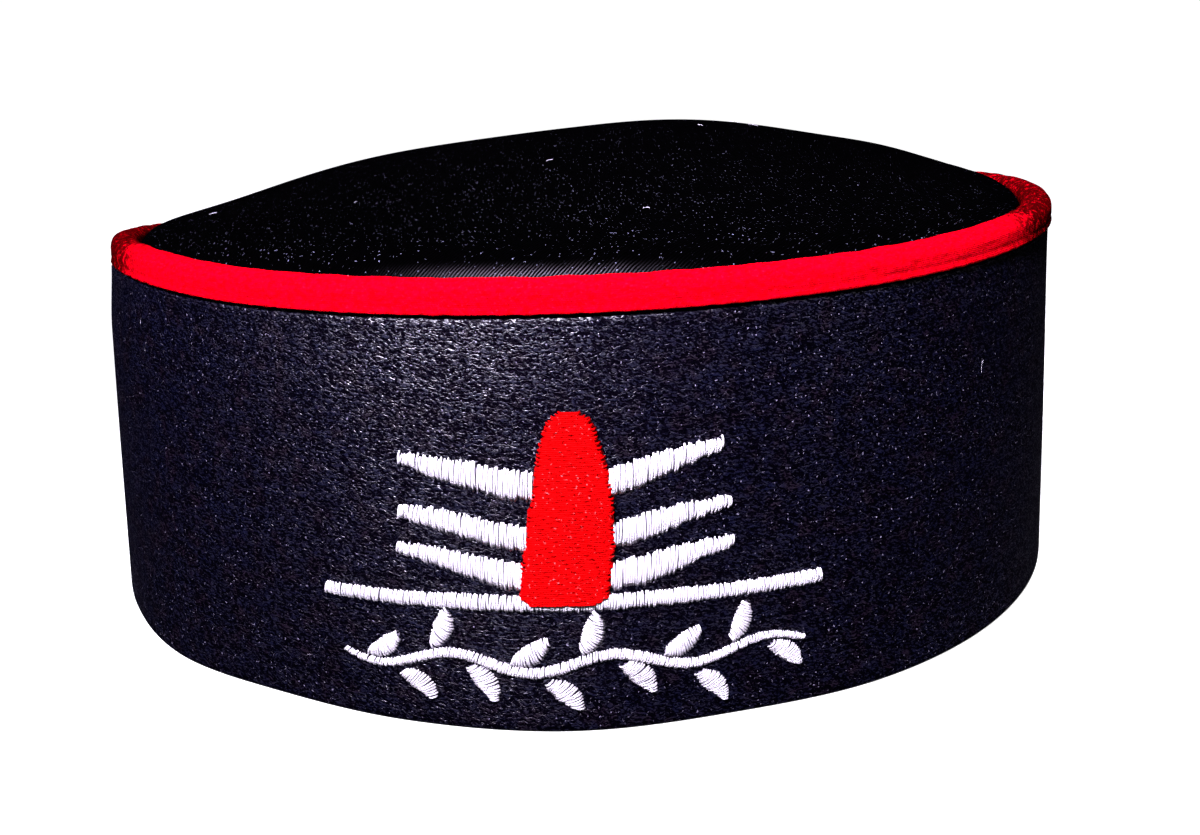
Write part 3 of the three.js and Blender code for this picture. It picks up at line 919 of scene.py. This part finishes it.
def wall_cloth():
    """Black-violet crepe: short glossy strands in wavy rows over a matt black ground."""
    shader = Shader("wall_cloth")
    u, v = shader.cloth_place()
    bend = shader.noise(shader.vector(shader.times(u, 0.7), v), 1.6, 2)
    rows = shader.math("MULTIPLY_ADD", v, 1 / STRAND_PITCH, shader.times(bend, ROW_WANDER))
    crest = shader.math("ABSOLUTE", shader.math("SINE", shader.times(rows, math.pi)))
    slanted = shader.math("MULTIPLY_ADD", u, STRAND_SLANT, v)
    short = shader.noise(shader.vector(shader.times(u, 0.9), shader.times(slanted, 1.7), 5.0),
                         1.7, 2, 0.6)
    breaks = shader.ramp(short, 0.43, 0.56)
    strand = shader.times(shader.ramp(crest, 0.35, 1.0),
                          shader.math("MULTIPLY_ADD", breaks, 0.97, 0.03))
    patch = shader.noise(shader.vector(u, v, 20.0), 0.33, 3, 0.6)
    violet = shader.mix(shader.ramp(patch, 0.36, 0.5), WARM_VIOLET, COLD_VIOLET)
    tinted = shader.mix(shader.ramp(patch, 0.52, 0.64), violet, INK_BLUE)
    woven = shader.mix(strand, GROUND_BLACK, tinted)
    dust = shader.specks(shader.vector(u, v, 33.0), 2.3, 0.69, 0.76)
    colour = shader.mix(dust, woven, WALL_DUST)
    lively = shader.ramp(shader.noise(shader.vector(u, v, 9.0), 1.5, 2, 0.6), 0.4, 0.66)
    shader.relief(shader.plus(shader.times(crest, 0.05), shader.times(short, 0.145)))
    gloss = shader.times(strand, shader.math("MULTIPLY_ADD", lively, 0.4, 0.42))
    return shader.finish(colour, roughness=0.5, specular=0.03, tint=WALL_TINT, coat=gloss)


# Crown weave: slanted twill ribs, with more dust away from the ridge that runs over the crown
RIB_PITCH = 0.6
RIB_SLANT = -0.6
CROWN_RIDGE = 14.0            # behind the middle
TWILL_BLACK = (0.0001, 0.0001, 0.0001)
RIB_BLACK = (0.0003, 0.0002, 0.0004)
CROWN_DUST = (0.14, 0.14, 0.21)
# painted highlight: grey on the rib crests where the crown bulges up behind the front tape
RIB_HIGHLIGHT_GREY = (0.055, 0.048, 0.058)


def crown_twill():
    """Black matt twill with slanted ribs, with a painted highlight on its ribs where its front edge
    meets the tape.
    """
    shader = Shader("crown_cloth")
    x, y, z = shader.object_place()
    place = shader.vector(x, y, z)
    bend = shader.times(shader.noise(place, 0.2, 2), 0.9)
    slant = shader.plus(shader.math("MULTIPLY_ADD", shader.plus(y, z), RIB_SLANT, x), bend)
    rib = shader.wave(slant, RIB_PITCH)
    fleck = shader.noise(place, 1.9, 3, 0.7)
    crest = shader.times(shader.ramp(rib, 0.4, 1.0), shader.ramp(fleck, 0.3, 0.62))
    from_ridge = shader.math("ABSOLUTE", shader.math("SUBTRACT", y, CROWN_RIDGE))
    drift = shader.math("MULTIPLY_ADD", from_ridge, 0.0034, shader.noise(place, 0.4, 3, 0.65))
    dust = shader.times(shader.specks(place, 2.6, 0.71, 0.77), shader.ramp(drift, 0.5, 0.95))
    base = shader.mix(crest, TWILL_BLACK, RIB_BLACK)
    dusty = shader.mix(dust, base, CROWN_DUST)
    # painted highlight on the rib crests along the crown's front edge
    rub = shader.node("Attribute", attribute_name="rub").outputs["Fac"]
    highlighted_ribs = shader.times(rub, shader.ramp(rib, 0.5, 0.8))
    colour = shader.mix(highlighted_ribs, dusty, RIB_HIGHLIGHT_GREY)
    shader.relief(shader.plus(shader.times(rib, 0.06), shader.times(fleck, 0.05)))
    return shader.finish(colour, roughness=0.8, specular=0.0)


# Tape: a fine weave, and its reds from the shade to the painted highlight on the turned edge, with
# painted shade at the sides
WARP_PITCH = 0.42
WEFT_PITCH = 0.3
CRIMSON = (0.4, 0.0001, 0.002)
BRIGHT_CRIMSON = (0.52, 0.0001, 0.006)
PINK_THREAD = (0.6, 0.003, 0.022)
SHADED_RED = (0.2, 0.0001, 0.001)
# painted highlight: the pink where the tape's rounded lower edge turns to the light
EDGE_HIGHLIGHT_PINK = (0.6, 0.016, 0.035)
# painted shade: dark red of mottled patches, strong at the tape's sides and faint elsewhere
MOTTLED_SHADE_RED = (0.016, 0.0001, 0.0002)


def red_tape():
    """Crimson satin tape, finely woven, with a painted pink highlight along its turned edge and
    painted shade, mottled, at the sides.
    """
    shader = Shader("red_tape")
    u, v = shader.cloth_place()
    warp = shader.wave(shader.math("MULTIPLY_ADD", v, 0.5, u), WARP_PITCH)
    weave = shader.times(warp, shader.wave(v, WEFT_PITCH))
    cloud = shader.noise(shader.vector(u, shader.times(v, 1.6)), 0.8, 3)
    fine = shader.noise(shader.vector(shader.times(u, 0.6), v), 3.2, 2)
    base = shader.mix(shader.ramp(cloud, 0.35, 0.65), CRIMSON, BRIGHT_CRIMSON)
    pink = shader.mix(shader.times(shader.ramp(fine, 0.58, 0.72), 0.5), base, PINK_THREAD)
    hollow = shader.math("SUBTRACT", 1.0, shader.ramp(fine, 0.3, 0.45))
    shaded = shader.mix(shader.times(hollow, 0.6), pink, SHADED_RED)
    # painted highlight in a band along the tape's turned lower edge
    edge = shader.math("SUBTRACT", shader.ramp(v, 0.15, 0.4), shader.ramp(v, 0.75, 1.1))
    turned = shader.times(edge, shader.math("MULTIPLY_ADD", fine, 0.6, 0.1))
    edge_highlighted = shader.mix(turned, shaded, EDGE_HIGHLIGHT_PINK)
    # painted shade in mottled dark red patches, strong at the tape's two sides and faint elsewhere
    grime = shader.node("Attribute", attribute_name="grime").outputs["Fac"]
    dark_patch_noise = shader.noise(shader.vector(u, v, 4.0), 1.1, 4, 0.75)
    mottle = shader.ramp(shader.math("MULTIPLY_ADD", grime, 0.32, dark_patch_noise), 0.56, 0.74)
    depth = shader.math("MINIMUM", shader.math("MULTIPLY_ADD", grime, 0.9, 0.35), 0.97)
    colour = shader.mix(shader.times(depth, mottle), edge_highlighted, MOTTLED_SHADE_RED)
    shader.relief(shader.plus(shader.times(weave, 0.05), shader.times(cloud, 0.06)))
    return shader.finish(colour, roughness=0.65, specular=0.0)


# Threads: painted shade on their sides towards the cloth, down between the stitches, and painted
# light on their tops
WHITE_SHADE, WHITE_LIT = (0.11, 0.095, 0.13), (0.6, 0.565, 0.6)
RED_SHADE, RED_LIT = (0.12, 0.0001, 0.0002), (0.5, 0.0003, 0.0008)
LINT_SHADE, LINT_LIT = (0.14, 0.13, 0.16), (0.4, 0.37, 0.43)
PALE_PINK_SPECK = (0.6, 0.4, 0.45)
ALONG_AXIS, UP_AXIS = 0, 2


def thread(name, under, over, specular, roughness, across, specks=0.0):
    """Twisted embroidery thread, with painted shade on its side towards the cloth, down between the
    stitches, and painted light on top. across is the object axis that counts the stitches, and specks
    is how strongly pale pink specks show."""
    shader = Shader(name)
    turn, run = shader.cloth_place()
    # painted light and shade round each thread: under is its colour towards the cloth, over its
    # colour on top
    facing = shader.math("SINE", shader.times(turn, 2 * math.pi))
    place = shader.object_place()
    cloud = shader.ramp(shader.noise(shader.vector(*place), 0.9, 3), 0.3, 0.7)
    stitch = shader.chance(shader.math("FLOOR", shader.times(place[across], 1 / STITCH_PITCH)))
    uneven = shader.plus(shader.times(cloud, 0.25), shader.times(stitch, 0.55))
    lit = shader.ramp(shader.plus(facing, uneven), -0.1, 1.25)
    # pale pink specks mixed into the thread's colour, as strongly as specks says
    dust = shader.specks(shader.vector(*place), 2.4, 0.68, 0.73)
    colour = shader.mix(shader.times(dust, specks), shader.mix(lit, under, over), PALE_PINK_SPECK)
    strands = shader.wave(shader.plus(run, turn), 0.5)
    shader.relief(shader.times(strands, 0.03))
    return shader.finish(colour, roughness, specular)


# Floor: its own grey, the glow that the camera adds to it, and how dark it is to other rays
FLOOR_GREY = (0.5, 0.5, 0.5, 1)
FLOOR_DIM = (0.01, 0.01, 0.012, 1)
FLOOR_GLOW = 0.86
FAR_GLOW = 0.16               # more of it, from GLOW_NEAR to GLOW_FAR away
GLOW_NEAR = 120.0
GLOW_FAR = 500.0


def floor_material():
    """A floor that looks pale to the camera, out to the picture's edge, and lights nothing."""
    shader = Shader("floor")
    tree = shader.tree
    shader.finish(FLOOR_GREY, roughness=0.9, specular=0.0)
    x, y, _ = shader.object_place()
    away = shader.node("VectorMath", operation="LENGTH")
    shader.put(away.inputs[0], shader.vector(x, y))
    glow = shader.node("Emission")
    far = shader.ramp(away.outputs["Value"], GLOW_NEAR, GLOW_FAR)
    shader.put(glow.inputs["Strength"], shader.math("MULTIPLY_ADD", far, FAR_GLOW, FLOOR_GLOW))
    seen = shader.node("AddShader")
    tree.links.new(shader.bsdf.outputs[0], seen.inputs[0])
    tree.links.new(glow.outputs[0], seen.inputs[1])
    dim = shader.node("BsdfDiffuse", {"Color": FLOOR_DIM})
    choice = shader.node("MixShader")
    tree.links.new(shader.node("LightPath").outputs["Is Camera Ray"], choice.inputs[0])
    tree.links.new(dim.outputs[0], choice.inputs[1])
    tree.links.new(seen.outputs[0], choice.inputs[2])
    tree.links.new(choice.outputs[0], tree.nodes["Material Output"].inputs[0])
    return shader.material


# Stage

def camera():
    up_angle, round_angle, roll = (
        math.radians(a) for a in (CAMERA_UP, CAMERA_ROUND, CAMERA_ROLL))
    back = Vector((math.sin(round_angle) * math.cos(up_angle),
                   -math.cos(round_angle) * math.cos(up_angle), math.sin(up_angle)))
    level = back.cross(Vector((0, 0, 1))).normalized() * -1
    upright = back.cross(level)
    right = level * math.cos(roll) + upright * math.sin(roll)
    up = upright * math.cos(roll) - level * math.sin(roll)
    data = bpy.data.cameras.new("camera")
    data.lens = LENS
    data.sensor_width = SENSOR_WIDTH
    data.sensor_fit = "HORIZONTAL"
    data.clip_start = 0.01
    made = bpy.data.objects.new("camera", data)
    bpy.context.scene.collection.objects.link(made)
    place = (Vector(CAMERA_TARGET) + back * CAMERA_DISTANCE) * MM
    made.matrix_world = Matrix((
        (right.x, up.x, back.x, place.x), (right.y, up.y, back.y, place.y),
        (right.z, up.z, back.z, place.z), (0, 0, 0, 1)))
    bpy.context.scene.camera = made


LIGHT_COLOUR = (0.95, 0.89, 1.1)
WORLD_SEEN = 1.02             # strength of the world to the camera
WORLD_DIM = 0.008             # and to every other ray
FLOOR_HALF = 9000


def soft_light(name, around, up, away, target, width, height, power, spread=180):
    """Area light at degrees round from the front and up, facing a target in millimetres."""
    turn, rise = math.radians(around), math.radians(up)
    data = bpy.data.lights.new(name, "AREA")
    data.shape = "RECTANGLE"
    data.size = width * MM
    data.size_y = height * MM
    data.energy = power
    data.spread = math.radians(spread)
    data.color = LIGHT_COLOUR
    made = bpy.data.objects.new(name, data)
    way = Vector((math.sin(turn) * math.cos(rise), -math.cos(turn) * math.cos(rise),
                  math.sin(rise)))
    made.location = (Vector(target) + way * away) * MM
    made.rotation_euler = way.to_track_quat("Z", "Y").to_euler()
    bpy.context.scene.collection.objects.link(made)


def world():
    made = bpy.data.worlds.new("studio")
    made.use_nodes = True
    tree = made.node_tree
    shade = tree.nodes["Background"]
    shade.inputs["Color"].default_value = (1, 1, 1, 1)
    path = tree.nodes.new("ShaderNodeLightPath")
    strength = tree.nodes.new("ShaderNodeMapRange")
    strength.inputs["To Min"].default_value = WORLD_DIM
    strength.inputs["To Max"].default_value = WORLD_SEEN
    tree.links.new(path.outputs["Is Camera Ray"], strength.inputs["Value"])
    tree.links.new(strength.outputs[0], shade.inputs["Strength"])
    bpy.context.scene.world = made


def stage():
    """Floor, world and lights. The key light's narrow spread makes the wall's highlight."""
    corners = [(FLOOR_HALF * x, FLOOR_HALF * y, 0) for x, y in ((-1, -1), (1, -1), (1, 1), (-1, 1))]
    floor = new_object("floor", corners, [(0, 1, 2, 3)], floor_material(), smooth=False)
    world()
    soft_light("key", -21, 45, 800, (-8, -90, 150), 220, 220, 1.15, spread=18)
    soft_light("overhead", 0, 87, 900, (0, 0, 70), 500, 500, 3)
    soft_light("behind", 180, 35, 700, (0, 90, 50), 400, 200, 2)
    soft_light("left", -65, 20, 700, (-70, -60, 60), 200, 100, 0.2)
    soft_light("right", 65, 20, 700, (70, -60, 60), 200, 100, 0.3)
    bpy.context.scene.view_settings.view_transform = "Standard"


camera()
stage()
side_wall(wall_cloth())
tape_ring(red_tape())
crown_dome(crown_twill())
white = thread("white_thread", WHITE_SHADE, WHITE_LIT, specular=0.2, roughness=0.5,
               across=ALONG_AXIS)
red = thread("red_thread", RED_SHADE, RED_LIT, specular=0.01, roughness=0.6, across=UP_AXIS,
             specks=0.12)
fluff = thread("lint", LINT_SHADE, LINT_LIT, specular=0.1, roughness=0.6, across=ALONG_AXIS)
bars(white)
rule(white)
vine(white)
red_mark(red)
lint(fluff)
